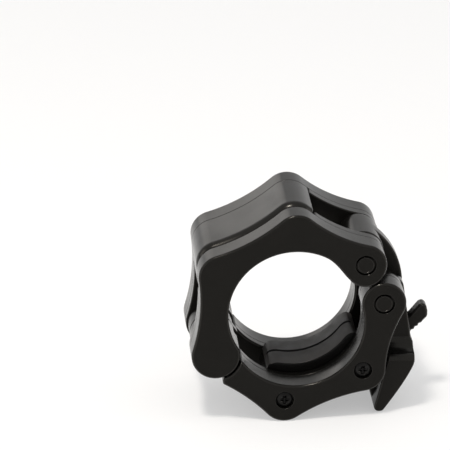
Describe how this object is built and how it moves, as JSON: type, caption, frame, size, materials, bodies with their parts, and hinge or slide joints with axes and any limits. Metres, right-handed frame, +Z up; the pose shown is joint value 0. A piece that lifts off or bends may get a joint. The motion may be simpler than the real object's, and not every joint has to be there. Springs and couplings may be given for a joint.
{
  "type": "barbell collar",
  "caption": "Two-jaw lever collar for a 50 mm bar sleeve: lobed black nylon jaws, rubber pads, over-centre lever with a curved link, and a toothed release tab.",
  "frame": {"origin": "on the ground, under the middle of the standing collar's box", "axes": "+Y along the bore, from the pictured face towards the other one; +Z up as the closed collar stands on its edge; +X towards the lever"},
  "size_m": [0.093, 0.046, 0.0851],
  "materials": {
    "black_nylon": "black glass-filled nylon, moulded, satin with glossy edges",
    "pin_nylon": "black nylon pins, satin",
    "pad_rubber": "dark grey rubber, matte",
    "bright_steel": "plain bright steel",
    "black_steel": "blackened steel screws"
  },
  "bodies": {
    "lower_jaw": {"lower_frame_front": "black_nylon", "lower_frame_back": "black_nylon", "lower_pad_carrier": "black_nylon", "lower_pad": "pad_rubber", "foot_screw": "black_steel", "foot_nut": "black_steel", "tab_screw": "black_steel", "tab_nut": "black_steel", "tab_sleeve": "bright_steel", "lever_pin": "pin_nylon", "lever_pin_cap": "pin_nylon"},
    "upper_jaw": {"upper_frame": "black_nylon", "upper_pad": "pad_rubber", "hinge_pin": "pin_nylon", "link_pin": "pin_nylon", "link_pin_cap": "pin_nylon"},
    "lever": {"lever": "black_nylon", "lever_cross_pin": "bright_steel"},
    "link": {"link": "black_nylon"},
    "tab": {"release_tab": "black_nylon", "tab_spring": "bright_steel"}
  },
  "joints": [
    {"name": "lever_hinge", "type": "hinge", "parent": "lower_jaw", "child": "lever", "pos_m": [0.027, 0, 0.04778], "axis": [0, -1, 0], "range_deg": [0, 64]},
    {"name": "jaw_hinge", "type": "hinge", "parent": "lower_jaw", "child": "upper_jaw", "pos_m": [-0.03719, 0, 0.02809], "axis": [0, -1, 0], "range_deg": [0, 2.5]},
    {"name": "link_hinge", "type": "hinge", "parent": "lever", "child": "link", "pos_m": [0.02976, 0, 0.03765], "axis": [0, -1, 0], "range_deg": [-41.9, 0]},
    {"name": "tab_hinge", "type": "hinge", "parent": "lower_jaw", "child": "tab", "pos_m": [0.01923, 0, 0.02031], "axis": [0, -1, 0], "range_deg": [0, 5], "stiffness_Nm_per_rad": 0.05, "springref_deg": -5.73}
  ],
  "couplings": [
    {"joint": "jaw_hinge", "follows": "lever_hinge", "ratio": 0.03903},
    {"joint": "link_hinge", "follows": "lever_hinge", "ratio": -0.65389}
  ]
}
